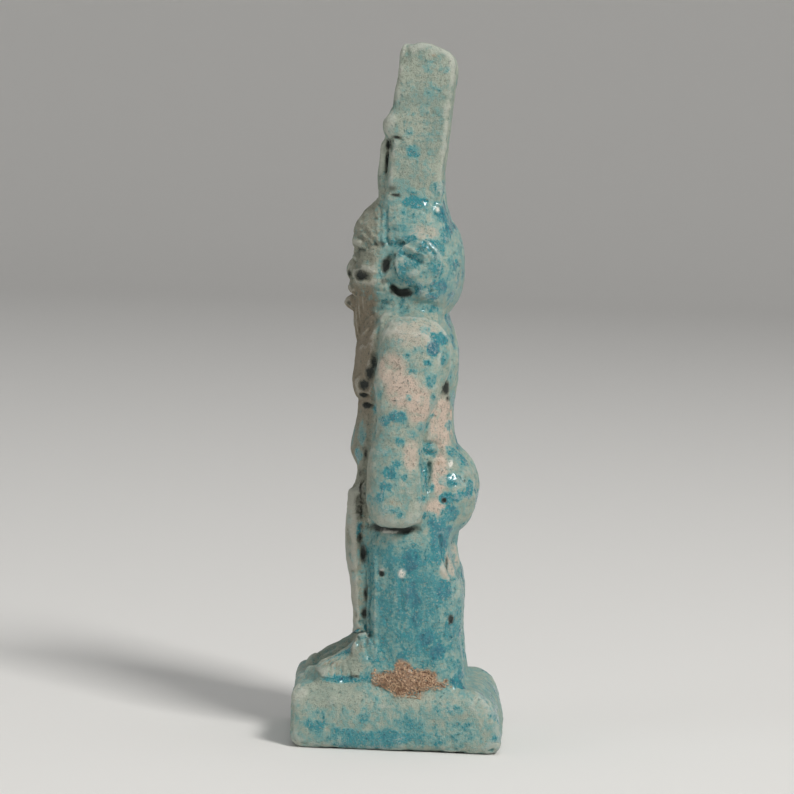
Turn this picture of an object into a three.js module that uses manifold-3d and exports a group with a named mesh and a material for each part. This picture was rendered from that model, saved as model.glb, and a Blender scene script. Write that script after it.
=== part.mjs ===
// A small faience figure of the dwarf god Bes, moulded in one piece with its oblong base.
// Millimetres, +Z up. The figure faces -Y, its own left side is +X, and the origin is on the
// underside of the base, at its middle. Every form is closed, and the forms are joined into one solid.

import * as THREE from "three";
import { mergeVertices } from "three/addons/utils/BufferGeometryUtils.js";
import Module from "manifold-3d";

// Overall sizes
const TOTAL_HEIGHT = 70;
const BASE = { length: 21, width: 18, height: 6.2 };
const CROWN = { foot: 53, halfWidthFoot: 5.0, halfWidthTop: 6.3, step: 63.3, stepDepth: 0.8, plumes: 5 };
const HEAD = { middle: 48.2, halfWidth: 5.8 };
const MANE = { middle: 47.8, y: 1.0, halfWidth: 7.3, halfDepth: 4.1, halfHeight: 5.9 };
const BEARD = { top: 45.6, tip: 39.8, halfWidth: 5.0, locks: 9 };
const LEG_X = 4.6;
const FOOT = { x: 3.7, heelY: -1.4, length: 7.3, splay: 17, sole: 5.6 };
const TOES = 5;

// How finely the round forms are divided
const SIDES = { body: 22, limb: 16, small: 10, lock: 6 };

const FAIENCE = new THREE.MeshStandardMaterial({ color: 0x7fb3b0, roughness: 0.55, metalness: 0 });

const wasm = await Module();
wasm.setup();

// Turns a closed three.js geometry into a solid, with its faces pointing outwards.
function solidOf(geometry) {
  const bare = geometry.clone();
  bare.deleteAttribute("normal");
  bare.deleteAttribute("uv");
  const merged = mergeVertices(bare, 1e-4);
  const triVerts = new Uint32Array(merged.index.array);
  const vertProperties = new Float32Array(merged.attributes.position.array);
  const made = new wasm.Manifold(new wasm.Mesh({ numProp: 3, vertProperties, triVerts }));
  if (made.volume() > 0) return made;
  for (let i = 0; i < triVerts.length; i += 3) {
    [triVerts[i + 1], triVerts[i + 2]] = [triVerts[i + 2], triVerts[i + 1]];
  }
  return new wasm.Manifold(new wasm.Mesh({ numProp: 3, vertProperties, triVerts }));
}

// The joined solid as a three.js geometry again.
function geometryOf(solid) {
  const { vertProperties, triVerts } = solid.getMesh();
  const geometry = new THREE.BufferGeometry();
  geometry.setAttribute("position", new THREE.BufferAttribute(new Float32Array(vertProperties), 3));
  geometry.setIndex(new THREE.BufferAttribute(new Uint32Array(triVerts), 1));
  geometry.computeVertexNormals();
  return geometry;
}

// A round form through level sections. Each section gives its height z, the middle x, the half
// width, and how far it reaches forward (fore, towards -Y) and back (aft, towards +Y).
// Square is the power of its outline: 2 is an ellipse, and a larger number is boxier.
function sectionForm(sections, { sides = SIDES.body, rings = sections.length * 2, square = 2 } = {}) {
  const middles = new THREE.CatmullRomCurve3(
    sections.map((s) => new THREE.Vector3(s.x ?? 0, (s.fore + s.aft) / 2, s.z)),
    false,
    "catmullrom",
  );
  const halves = new THREE.CatmullRomCurve3(
    sections.map((s) => new THREE.Vector3(s.half, (s.aft - s.fore) / 2, 0)),
    false,
    "catmullrom",
  );
  const geometry = new THREE.CylinderGeometry(1, 1, 1, sides, rings);
  const place = geometry.attributes.position;
  for (let i = 0; i < place.count; i++) {
    const along = THREE.MathUtils.clamp(place.getY(i) + 0.5, 0, 1);
    const [across, ahead] = [place.getX(i), place.getZ(i)];
    const middle = middles.getPoint(along);
    const half = halves.getPoint(along);
    const reach = (Math.abs(across) ** square + Math.abs(ahead) ** square) ** (1 / square) || 1;
    const radius = Math.hypot(across, ahead);
    place.setXYZ(
      i,
      middle.x + (half.x * across * radius) / reach,
      middle.y + (half.y * ahead * radius) / reach,
      middle.z,
    );
  }
  return geometry;
}

// An egg shape with its half sizes, turned about the axes in degrees, and placed.
function egg(place, halves, turn = [0, 0, 0], sides = SIDES.limb) {
  const geometry = new THREE.SphereGeometry(1, sides, Math.max(5, Math.round(sides * 0.6)));
  geometry.rotateX(Math.PI / 2);
  geometry.scale(...halves);
  const radians = turn.map(THREE.MathUtils.degToRad);
  geometry.applyMatrix4(new THREE.Matrix4().makeRotationFromEuler(new THREE.Euler(...radians)));
  geometry.translate(...place);
  return geometry;
}

// A side outline, with y as its first and z as its second number, carried across the width.
function slab(outline, width, edge) {
  const geometry = new THREE.ExtrudeGeometry(outline, {
    depth: width - 2 * edge,
    curveSegments: 4,
    bevelThickness: edge,
    bevelSize: edge,
    bevelOffset: -edge,
    bevelSegments: 2,
  });
  geometry.translate(0, 0, edge - width / 2);
  geometry.rotateX(Math.PI / 2);
  geometry.rotateZ(Math.PI / 2);
  return geometry;
}

const bothSides = (make) => [1, -1].flatMap((side) => make(side));

// The base is an oblong block. Its edges are soft, and its top edge is rounder at the back.
function base() {
  const { length, width, height } = BASE;
  const [front, back] = [-length / 2, length / 2];
  const outline = new THREE.Shape();
  outline.moveTo(front + 1.3, 0);
  outline.lineTo(back - 1.4, 0);
  outline.quadraticCurveTo(back, 0, back, 1.4);
  outline.lineTo(back - 0.3, height - 3.2);
  outline.quadraticCurveTo(back - 0.9, height - 0.3, back - 3.2, height);
  outline.lineTo(front + 1.4, height + 0.1);
  outline.quadraticCurveTo(front, height + 0.1, front, height - 1.3);
  outline.lineTo(front, 1.3);
  outline.quadraticCurveTo(front, 0, front + 1.3, 0);
  return [slab(outline, width, 0.8)];
}

// The tall plume crown leans back a little and widens upwards. Above the step the plumes' front
// has broken away, and below it only a thin edge of them is left, with a hollow behind it.
function crown() {
  const { foot, halfWidthFoot, halfWidthTop, step, stepDepth } = CROWN;
  const top = TOTAL_HEIGHT;
  const outline = new THREE.Shape();
  outline.moveTo(-2.9, foot);
  outline.lineTo(2.8, foot);
  outline.lineTo(2.6, foot + 4.5);
  outline.lineTo(3.05, step);
  outline.lineTo(3.5, top - 2.6);
  outline.quadraticCurveTo(3.65, top - 1.0, 2.2, top - 0.5);
  outline.lineTo(0.6, top);
  outline.lineTo(-1.2, top);
  outline.quadraticCurveTo(-1.95, top, -2.0, top - 1);
  outline.lineTo(-2.2, top - 3.2);
  outline.lineTo(-2.6, step);
  outline.closePath();
  const plumes = slab(outline, 2 * halfWidthTop, 0.5);

  const brow = new THREE.Shape();
  brow.moveTo(0, step - 3);
  brow.lineTo(-2.5, step - 3);
  brow.quadraticCurveTo(-2.6 - stepDepth, step - 2.6, -2.6 - stepDepth, step - 1.2);
  brow.quadraticCurveTo(-2.6 - stepDepth, step, -1.6 - stepDepth, step);
  brow.lineTo(0, step);
  brow.closePath();
  const broken = slab(brow, 2 * halfWidthTop, 0.4);

  const leaf = new THREE.Shape();
  leaf.moveTo(0, foot);
  leaf.lineTo(-3.6, foot);
  leaf.lineTo(-3.85, foot + 3.9);
  leaf.lineTo(-3.55, foot + 7.6);
  leaf.lineTo(0, foot + 7.6);
  leaf.closePath();
  const edge = slab(leaf, 2 * halfWidthTop - 3, 0.3);

  // The crown is wider at the top than where it meets the head.
  const widen = (geometry) => {
    const place = geometry.attributes.position;
    for (let i = 0; i < place.count; i++) {
      const up = (place.getZ(i) - foot) / (top - foot);
      place.setX(i, place.getX(i) * THREE.MathUtils.lerp(halfWidthFoot / halfWidthTop, 1, up));
    }
    return geometry;
  };
  const socket = sectionForm(
    [
      { z: 50.5, half: 6.3, fore: -3.6, aft: 4.2 },
      { z: 52.6, half: 5.9, fore: -3.8, aft: 3.4 },
      { z: 54.3, half: 5.4, fore: -3.8, aft: 3.0 },
      { z: 55.8, half: 5.0, fore: -3.5, aft: 2.8 },
    ],
    { square: 4, rings: 6 },
  );
  return [widen(plumes), widen(broken), widen(edge), socket];
}

// Shallow furrows between the five plumes, cut into the crown's front.
function plumeFurrows() {
  const { foot, halfWidthFoot, step, plumes } = CROWN;
  const furrows = [];
  for (let i = 1; i < plumes; i++) {
    const across = (2 * i) / plumes - 1;
    const x = across * (halfWidthFoot + 0.6);
    const height = TOTAL_HEIGHT - foot;
    const furrow = new THREE.CylinderGeometry(0.32, 0.32, height, 6, 1);
    furrow.rotateX(Math.PI / 2);
    furrow.rotateY(across * 0.07);
    furrow.rotateX(-0.11);
    furrow.translate(x, -3.05, foot + height / 2 + 2.4);
    furrows.push(furrow);
  }
  return furrows;
}

// The face stands forward of a round mane, which frames it and fills out the back of the head.
function head() {
  const skull = sectionForm(
    [
      { z: 42.6, half: 4.2, fore: -5.3, aft: 2 },
      { z: 44.0, half: 5.2, fore: -5.7, aft: 2 },
      { z: 46.0, half: 5.7, fore: -5.9, aft: 2 },
      { z: HEAD.middle, half: HEAD.halfWidth, fore: -5.9, aft: 2 },
      { z: 50.0, half: 5.8, fore: -6.2, aft: 2 },
      { z: 51.6, half: 5.6, fore: -6.3, aft: 2.4 },
      { z: 53.1, half: 5.2, fore: -5.4, aft: 2.6 },
      { z: 54.5, half: 4.8, fore: -3.9, aft: 2.6 },
      { z: 55.2, half: 4.3, fore: -3.0, aft: 2.6 },
    ],
    { square: 2.5, rings: 13 },
  );
  const mane = egg(
    [0, MANE.y, MANE.middle],
    [MANE.halfWidth, MANE.halfDepth, MANE.halfHeight],
    [0, 0, 0],
    SIDES.body,
  );
  return [skull, mane];
}

// A lion's round ear: a raised rim around a hollow.
function ears() {
  return bothSides((side) => {
    const rim = new THREE.TorusGeometry(1.7, 0.65, 7, 14);
    rim.scale(1.05, 1.1, 0.75);
    rim.rotateY(Math.PI / 2);
    rim.rotateZ(side * -0.15);
    rim.translate(side * 6.65, 0.5, 48.4);
    return [rim];
  });
}

// The god's mask: heavy slanting brows, round eyes, fat cheeks, a broad nose, and the tongue out.
function face() {
  const { small } = SIDES;
  const nose = egg([0, -5.3, 47.3], [1.9, 1.8, 1.6], [0, 0, 0], small + 2);
  const bridge = egg([0, -5.2, 49.2], [1.3, 1.25, 1.9], [0, 0, 0], small);
  const tongue = egg([0, -5.3, 44.0], [1.3, 1.85, 1.05], [0, 0, 0], small);
  const pairs = bothSides((side) => [
    egg([side * 2.9, -4.6, 50.3], [3.0, 1.8, 1.0], [0, side * -14, side * 14], small + 2),
    egg([side * 2.5, -5.0, 48.7], [1.3, 1.2, 0.75], [0, 0, side * 14], small),
    egg([side * 3.6, -4.0, 47.0], [2.4, 2.1, 2.0], [0, 0, side * 25], small + 2),
    egg([side * 1.6, -4.9, 45.6], [2.3, 1.85, 1.15], [0, side * 18, side * 10], small + 2),
  ]);
  return [nose, bridge, tongue, ...pairs];
}

// Long locks run down from the cheeks and jaw to the beard's tip on the chest.
function beard() {
  const { top, tip, halfWidth, locks } = BEARD;
  const [fore, aft] = [-5.6, -0.8];
  const mass = sectionForm(
    [
      { z: tip, half: 1.2, fore, aft: -3 },
      { z: tip + 1.2, half: 2.9, fore, aft: -2 },
      { z: tip + 3.0, half: halfWidth - 0.6, fore, aft },
      { z: top, half: halfWidth + 0.6, fore, aft },
    ],
    { sides: SIDES.limb, rings: 5 },
  );
  const strands = [];
  for (let i = 0; i < locks; i++) {
    const across = (2 * i) / (locks - 1) - 1;
    const length = top - tip - 2.2 * across ** 2;
    const x = across * halfWidth * 0.72;
    const y = (fore + aft) / 2 - ((aft - fore) / 2) * Math.sqrt(1 - (0.78 * across) ** 2);
    const lean = across * 26;
    strands.push(egg([x, y, top - length / 2], [0.5, 0.45, length / 2], [0, lean, 0], SIDES.lock));
  }
  return [mass, ...strands];
}

// The short trunk swells at the chest and again at the low belly, over a notch at the waist.
function torso() {
  const trunk = sectionForm(
    [
      { z: 44.4, half: 5.0, fore: -3.6, aft: 2.8 },
      { z: 42.6, half: 7.4, fore: -5.0, aft: 3.7 },
      { z: 40.2, half: 7.9, fore: -5.65, aft: 4.65 },
      { z: 38.0, half: 7.6, fore: -5.8, aft: 4.8 },
      { z: 36.2, half: 7.2, fore: -6.0, aft: 4.75 },
      { z: 34.9, half: 6.9, fore: -5.6, aft: 4.6 },
      { z: 33.8, half: 6.7, fore: -5.2, aft: 4.5 },
      { z: 32.0, half: 6.7, fore: -5.4, aft: 4.5 },
      { z: 30.0, half: 6.8, fore: -5.8, aft: 5.0 },
      { z: 28.8, half: 6.8, fore: -5.9, aft: 5.6 },
      { z: 27.4, half: 6.8, fore: -5.0, aft: 6.1 },
      { z: 25.6, half: 6.8, fore: -3.4, aft: 6.2 },
      { z: 23.4, half: 6.7, fore: -2.4, aft: 5.8 },
      { z: 21.0, half: 6.2, fore: -1.4, aft: 4.4 },
    ],
    { square: 2.3, rings: 17 },
  );
  const buttocks = bothSides((side) => [egg([side * 3.4, 3.7, 25.4], [3.9, 3.5, 4.7])]);
  return [trunk, ...buttocks];
}

// The arms hang beside the trunk with the elbows a little out, and the blunt hands rest on the thighs.
function arms() {
  return bothSides((side) => [
    sectionForm(
      [
        { z: 43.1, x: side * 7.5, half: 0.9, fore: -1.0, aft: 1.6 },
        { z: 42.3, x: side * 7.7, half: 1.9, fore: -2.4, aft: 3.1 },
        { z: 40.6, x: side * 8.0, half: 2.3, fore: -3.0, aft: 4.1 },
        { z: 38.4, x: side * 8.2, half: 2.3, fore: -3.15, aft: 4.3 },
        { z: 36.3, x: side * 8.5, half: 2.15, fore: -3.45, aft: 3.5 },
        { z: 34.2, x: side * 8.6, half: 2.0, fore: -3.1, aft: 2.5 },
        { z: 31.9, x: side * 8.6, half: 1.9, fore: -3.0, aft: 1.75 },
        { z: 29.2, x: side * 8.3, half: 1.9, fore: -3.65, aft: 1.6 },
        { z: 26.4, x: side * 8.2, half: 2.0, fore: -3.8, aft: 2.1 },
        { z: 24.2, x: side * 8.2, half: 2.0, fore: -3.75, aft: 2.3 },
        { z: 22.9, x: side * 8.2, half: 1.8, fore: -3.2, aft: 1.8 },
        { z: 22.3, x: side * 8.1, half: 1.2, fore: -2.3, aft: 1.1 },
      ],
      { sides: SIDES.limb, rings: 14, square: 2.2 },
    ),
  ]);
}

// Bandy legs: a broad calf on the outside, and the shin standing forward of it.
function legs() {
  const web = sectionForm(
    [
      { z: 5.4, half: 3.0, fore: -1.6, aft: 5.6 },
      { z: 15.0, half: 3.0, fore: -1.6, aft: 5.0 },
      { z: 25.0, half: 3.0, fore: -1.6, aft: 5.0 },
    ],
    { sides: SIDES.small, rings: 4 },
  );
  const limbs = bothSides((side) => [
    sectionForm(
      [
        { z: 29.0, x: side * 4.0, half: 2.4, fore: -2.6, aft: 4.4 },
        { z: 25.5, x: side * 4.5, half: 3.3, fore: -3.3, aft: 5.3 },
        { z: 22.3, x: side * LEG_X, half: 3.6, fore: -3.5, aft: 5.0 },
        { z: 19.8, x: side * LEG_X, half: 3.65, fore: -3.4, aft: 4.55 },
        { z: 17.0, x: side * LEG_X, half: 3.6, fore: -3.2, aft: 5.75 },
        { z: 14.5, x: side * LEG_X, half: 3.5, fore: -3.05, aft: 6.15 },
        { z: 11.0, x: side * LEG_X, half: 3.4, fore: -2.9, aft: 6.05 },
        { z: 8.0, x: side * LEG_X, half: 3.5, fore: -2.75, aft: 6.5 },
        { z: 5.2, x: side * LEG_X, half: 3.8, fore: -2.7, aft: 6.9 },
      ],
      { sides: SIDES.limb, rings: 12, square: 3 },
    ),
    sectionForm(
      [
        { z: 29.0, x: side * 3.8, half: 2.8, fore: -4.9, aft: 0 },
        { z: 25.0, x: side * 3.8, half: 2.6, fore: -5.2, aft: 0 },
        { z: 20.8, x: side * 3.9, half: 2.2, fore: -5.6, aft: 0 },
        { z: 17.0, x: side * 3.8, half: 1.9, fore: -4.7, aft: 0 },
        { z: 13.5, x: side * 3.6, half: 1.9, fore: -4.15, aft: 0 },
        { z: 10.5, x: side * 3.5, half: 2.0, fore: -4.25, aft: 0 },
        { z: 5.4, x: side * 3.6, half: 2.2, fore: -4.6, aft: 0 },
      ],
      { sides: SIDES.small, rings: 11 },
    ),
  ]);
  return [web, ...limbs];
}

// Broad feet turned outwards, with a row of short toes.
function feet() {
  const { x, heelY, length, splay, sole } = FOOT;
  return bothSides((side) => {
    const turn = side * THREE.MathUtils.degToRad(splay);
    const put = (geometry) => {
      geometry.rotateZ(turn);
      geometry.translate(side * x, heelY, sole);
      return geometry;
    };
    const instep = sectionForm(
      [
        { z: 0, half: 1.8, fore: -1, aft: 5.7 },
        { z: length * 0.35, half: 2.1, fore: -1, aft: 5.0 },
        { z: length * 0.62, half: 2.3, fore: -1, aft: 4.05 },
        { z: length * 0.86, half: 2.4, fore: -1, aft: 2.95 },
        { z: length, half: 2.1, fore: -0.8, aft: 2.1 },
      ],
      { sides: SIDES.small + 2, rings: 6, square: 2.4 },
    );
    instep.rotateX(Math.PI / 2);
    const toes = [];
    for (let i = 0; i < TOES; i++) {
      const across = (2 * i) / (TOES - 1) - 1;
      const inward = -side * across;
      const size = [0.5 + 0.1 * inward, 0.75, 0.85 + 0.1 * inward];
      toes.push(put(egg([across * 1.85, 0.3 - 0.35 * inward - length, 1.15], size, [0, 0, 0], 7)));
    }
    const ankle = egg([side * 5.0, -2.6, sole + 2.0], [3.1, 3.4, 3.3], [0, 0, 0], SIDES.small + 2);
    return [put(instep), ankle, ...toes];
  });
}

// The tail of the lion's skin hangs down the back, between the legs.
function tail() {
  return [
    sectionForm(
      [
        { z: 26.0, half: 0.8, fore: 3, aft: 5.6 },
        { z: 22.5, half: 0.9, fore: 3, aft: 5.7 },
        { z: 19.4, half: 1.0, fore: 3, aft: 5.35 },
        { z: 16.0, half: 1.1, fore: 3, aft: 6.1 },
        { z: 12.0, half: 1.1, fore: 3, aft: 6.2 },
        { z: 5.5, half: 1.2, fore: 3, aft: 6.8 },
      ],
      { sides: SIDES.small, rings: 8 },
    ),
  ];
}

const forms = [base, crown, head, ears, face, beard, torso, arms, legs, feet, tail];
const moulded = forms
  .flatMap((make) => make())
  .map(solidOf)
  .reduce((whole, piece) => whole.add(piece));
const solid = plumeFurrows()
  .map(solidOf)
  .reduce((whole, furrow) => whole.subtract(furrow), moulded);

const figure = new THREE.Mesh(geometryOf(solid), FAIENCE);
figure.name = "bes_figure";

const statuette = new THREE.Group();
statuette.name = "bes_statuette";
statuette.add(figure);

export default statuette;
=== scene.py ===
# %% [markdown]
# # A worn faience figure of Bes
#
# The figure is a small Egyptian amulet, about as tall as a thumb. Quartz paste was pressed into
# a mould, dried, and fired with a turquoise glaze. In the ground most of the glaze has worn thin
# or gone, and earth has settled in every hollow.
#
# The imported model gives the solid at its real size. This lesson turns it into the worn surface:
# clay that is carved by strokes, a glaze that is kept in patches, and a crust of sand on the base.

# %% The frame
import math
from itertools import product

import bmesh
import bpy
import numpy as np
from mathutils import Matrix, Vector


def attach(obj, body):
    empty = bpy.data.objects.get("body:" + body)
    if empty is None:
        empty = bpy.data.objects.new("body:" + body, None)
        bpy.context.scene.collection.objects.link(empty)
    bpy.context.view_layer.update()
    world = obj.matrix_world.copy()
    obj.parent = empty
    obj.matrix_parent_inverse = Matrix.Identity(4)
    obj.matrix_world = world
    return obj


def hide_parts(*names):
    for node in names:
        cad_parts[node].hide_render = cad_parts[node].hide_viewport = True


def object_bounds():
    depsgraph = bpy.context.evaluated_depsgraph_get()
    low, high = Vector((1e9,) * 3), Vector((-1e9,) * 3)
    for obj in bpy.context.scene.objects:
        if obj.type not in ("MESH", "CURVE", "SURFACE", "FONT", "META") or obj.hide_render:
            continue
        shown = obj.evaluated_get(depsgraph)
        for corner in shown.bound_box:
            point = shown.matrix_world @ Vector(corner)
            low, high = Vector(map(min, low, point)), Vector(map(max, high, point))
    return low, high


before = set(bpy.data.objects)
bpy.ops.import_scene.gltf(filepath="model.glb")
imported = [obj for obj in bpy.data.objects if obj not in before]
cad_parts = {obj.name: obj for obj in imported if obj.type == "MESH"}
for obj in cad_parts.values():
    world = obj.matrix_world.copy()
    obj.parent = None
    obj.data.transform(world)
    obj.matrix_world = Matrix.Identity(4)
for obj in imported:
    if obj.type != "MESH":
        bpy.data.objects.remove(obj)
cad_low, cad_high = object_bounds()
MM = 0.001
print("figure in millimetres:", [round(side / MM, 2) for side in cad_high - cad_low])

# %% [markdown]
# ## Where the camera stands
#
# The figure is seen from its own left side, so it looks to the left of the picture. The camera
# stands a third of a metre away, a little above the middle of the figure, and leans by two
# degrees. A long lens keeps the upright lines nearly straight. The place and the point that it
# looks at are given in millimetres, in the same frame as the figure.

# %% Camera
CAMERA_PLACE = Vector((332.80, 11.24, 59.0)) * MM
CAMERA_TARGET = Vector((0.0, -1.373, 34.554)) * MM
CAMERA_LEAN = math.radians(2.0)
LENS = 150.0

camera_data = bpy.data.cameras.new("camera")
camera_data.lens = LENS
camera_data.sensor_width = 36.0
camera_data.clip_start = 0.01
camera_data.clip_end = 20.0
camera = bpy.data.objects.new("camera", camera_data)
aim = (CAMERA_TARGET - CAMERA_PLACE).to_track_quat("-Z", "Y").to_matrix().to_4x4()
camera.matrix_world = Matrix.Translation(CAMERA_PLACE) @ aim @ Matrix.Rotation(CAMERA_LEAN, 4, "Z")
bpy.context.scene.collection.objects.link(camera)
bpy.context.scene.camera = camera
print("camera stands", round((CAMERA_TARGET - CAMERA_PLACE).length, 3), "m away")

# %% [markdown]
# ## A pale table and soft light
#
# A plain pale table lets the colour of the glaze speak. It is round and curves up into a low
# wall, like a sheet of paper in a photographer's bowl, so that no horizon cuts the picture. The
# main light is broad and stands to the right of the camera and above it, so the shadow falls to
# the left and the face stays in half shade, as it does when such a figure is lit from behind its
# shoulder. A weak light from the left keeps the front readable. Standard colour management keeps
# the colours as they are mixed.

# %% Table
scene = bpy.context.scene
scene.view_settings.view_transform = "Standard"
scene.view_settings.look = "None"

TABLE_COLOUR = (0.78, 0.77, 0.75, 1.0)
TABLE_RADIUS = 1.0
BEND_RADIUS = 0.45
WALL_HEIGHT = 1.0
TABLE_SIDES = 96


def plain_table():
    """A flat round table just under the figure, which bends up into a wall."""
    bend = [math.radians(angle) for angle in range(0, 91, 10)]
    profile = [(TABLE_RADIUS + BEND_RADIUS * math.sin(a), BEND_RADIUS * (1 - math.cos(a))) for a in bend]
    profile.append((TABLE_RADIUS + BEND_RADIUS, WALL_HEIGHT))
    turns = [math.tau * side / TABLE_SIDES for side in range(TABLE_SIDES)]
    points = [(r * math.cos(turn), r * math.sin(turn), z) for r, z in profile for turn in turns]
    faces = [tuple(range(TABLE_SIDES))]
    for ring, side in product(range(len(profile) - 1), range(TABLE_SIDES)):
        first, second = ring * TABLE_SIDES, (ring + 1) * TABLE_SIDES
        after = (side + 1) % TABLE_SIDES
        faces.append((first + side, second + side, second + after, first + after))
    mesh = bpy.data.meshes.new("table")
    mesh.from_pydata(points, [], faces)
    mesh.shade_smooth()
    table = bpy.data.objects.new("table", mesh)
    scene.collection.objects.link(table)
    paint = bpy.data.materials.new("table paint")
    paint.use_nodes = True
    shader = paint.node_tree.nodes["Principled BSDF"]
    shader.inputs["Base Color"].default_value = TABLE_COLOUR
    shader.inputs["Roughness"].default_value = 0.9
    shader.inputs["Specular IOR Level"].default_value = 0.2
    mesh.materials.append(paint)
    return table


plain_table()
print("table spans", 2 * (TABLE_RADIUS + BEND_RADIUS), "m")

# %% Lights
def soft_light(name, place, size, watts, colour=(1.0, 1.0, 1.0)):
    """A square light that looks at the middle of the figure."""
    data = bpy.data.lights.new(name, "AREA")
    data.shape = "SQUARE"
    data.size = size
    data.energy = watts
    data.color = colour
    lamp = bpy.data.objects.new(name, data)
    lamp.location = place
    target = (cad_low + cad_high) / 2
    lamp.rotation_euler = (target - Vector(place)).to_track_quat("-Z", "Y").to_euler()
    scene.collection.objects.link(lamp)
    return lamp


soft_light("main light", (0.46, 0.40, 0.62), 0.20, 5.4, (1.0, 0.985, 0.96))
soft_light("left light", (0.45, -0.62, 0.30), 0.40, 0.6, (0.95, 0.98, 1.0))
soft_light("top light", (-0.10, 0.10, 1.30), 0.90, 3.5, (1.0, 1.0, 1.0))
world = bpy.data.worlds.new("room")
world.use_nodes = True
world.node_tree.nodes["Background"].inputs["Color"].default_value = (0.86, 0.88, 0.90, 1.0)
world.node_tree.nodes["Background"].inputs["Strength"].default_value = 0.18
scene.world = world

# %% [markdown]
# ## From the solid to clay
#
# The solid is made of flat facets and has hard creases where its forms meet. A potter's figure
# has neither. One could subdivide the facets, but a joined solid has long thin triangles that
# subdivide badly. Remeshing instead lays an even skin of small squares over it, as if it were
# dipped, and a short smoothing melts the creases. The work is done in millimetres, so that the
# sizes below read like sizes on the figure.

# %% The clay
SKIN = 0.18
MELT = 14


def baked(name, mesh, *modifiers):
    """The mesh that is left after the named modifiers have been worked out."""
    holder = bpy.data.objects.new(name, mesh)
    scene.collection.objects.link(holder)
    for kind, settings in modifiers:
        modifier = holder.modifiers.new(kind.lower(), kind)
        for setting, value in settings.items():
            setattr(modifier, setting, value)
    result = bpy.data.meshes.new_from_object(holder.evaluated_get(bpy.context.evaluated_depsgraph_get()))
    bpy.data.objects.remove(holder)
    return result


def merged_copy(node):
    """The node's loose triangles as one welded mesh, in millimetres."""
    work = bmesh.new()
    work.from_mesh(node.data)
    bmesh.ops.remove_doubles(work, verts=work.verts, dist=1e-7)
    bmesh.ops.scale(work, vec=(1 / MM,) * 3, verts=work.verts)
    mesh = bpy.data.meshes.new("blank")
    work.to_mesh(mesh)
    work.free()
    return mesh


blank = merged_copy(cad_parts["bes_figure"])
skin = baked(
    "skin",
    blank,
    ("REMESH", {"mode": "VOXEL", "voxel_size": SKIN, "adaptivity": 0.0}),
    ("SMOOTH", {"factor": 0.5, "iterations": MELT}),
)
print("skin:", len(skin.vertices), "points")

# %% [markdown]
# ## Hands and eyes
#
# Carving needs three helpers. A soft noise gives lumps of a chosen width, because no surface
# made by hand is quite even. A rounded line turns a few chosen points into a smooth stroke. And
# the clay itself knows where its points are, which way they face, and how to be pressed by a
# stroke that is drawn on it from one side, as a modeller does with the tip of a stick.

# %% Noise and strokes
LATTICE = 61
STROKE_STEPS = 5


def soft_noise(place, width, seed):
    """Smooth random lumps about as wide as width, from -1 to 1."""
    cells = np.random.default_rng(seed).uniform(-1, 1, (LATTICE,) * 3)
    at = place / width
    corner = np.floor(at).astype(int)
    ease = at - corner
    ease = ease * ease * (3 - 2 * ease)
    total = np.zeros(len(place))
    for step in product((0, 1), repeat=3):
        index = (corner + step) % LATTICE
        weight = np.prod(np.where(step, ease, 1 - ease), axis=1)
        total += weight * cells[index[:, 0], index[:, 1], index[:, 2]]
    return total


def rounded(points):
    """A smooth line through a few points."""
    points = np.array(points, float)
    if len(points) < 3:
        return points
    ends = np.vstack([2 * points[0] - points[1], points, 2 * points[-1] - points[-2]])
    line = []
    for a, b, c, d in zip(ends[:-3], ends[1:-2], ends[2:-1], ends[3:]):
        for t in np.arange(STROKE_STEPS) / STROKE_STEPS:
            bend = 2 * a - 5 * b + 4 * c - d
            twist = 3 * b - a - 3 * c + d
            line.append(b + 0.5 * t * (c - a + t * (bend + t * twist)))
    return np.array([*line, points[-1]])


def distance_to(line, points):
    """How far each point is from a line."""
    if len(line) == 1:
        return np.linalg.norm(points - line[0], axis=1)
    nearest = np.full(len(points), np.inf)
    for start, end in zip(line[:-1], line[1:]):
        span = end - start
        share = np.clip((points - start) @ span / (span @ span), 0, 1)
        away = np.linalg.norm(points - start - share[:, None] * span, axis=1)
        nearest = np.minimum(nearest, away)
    return nearest


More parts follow.
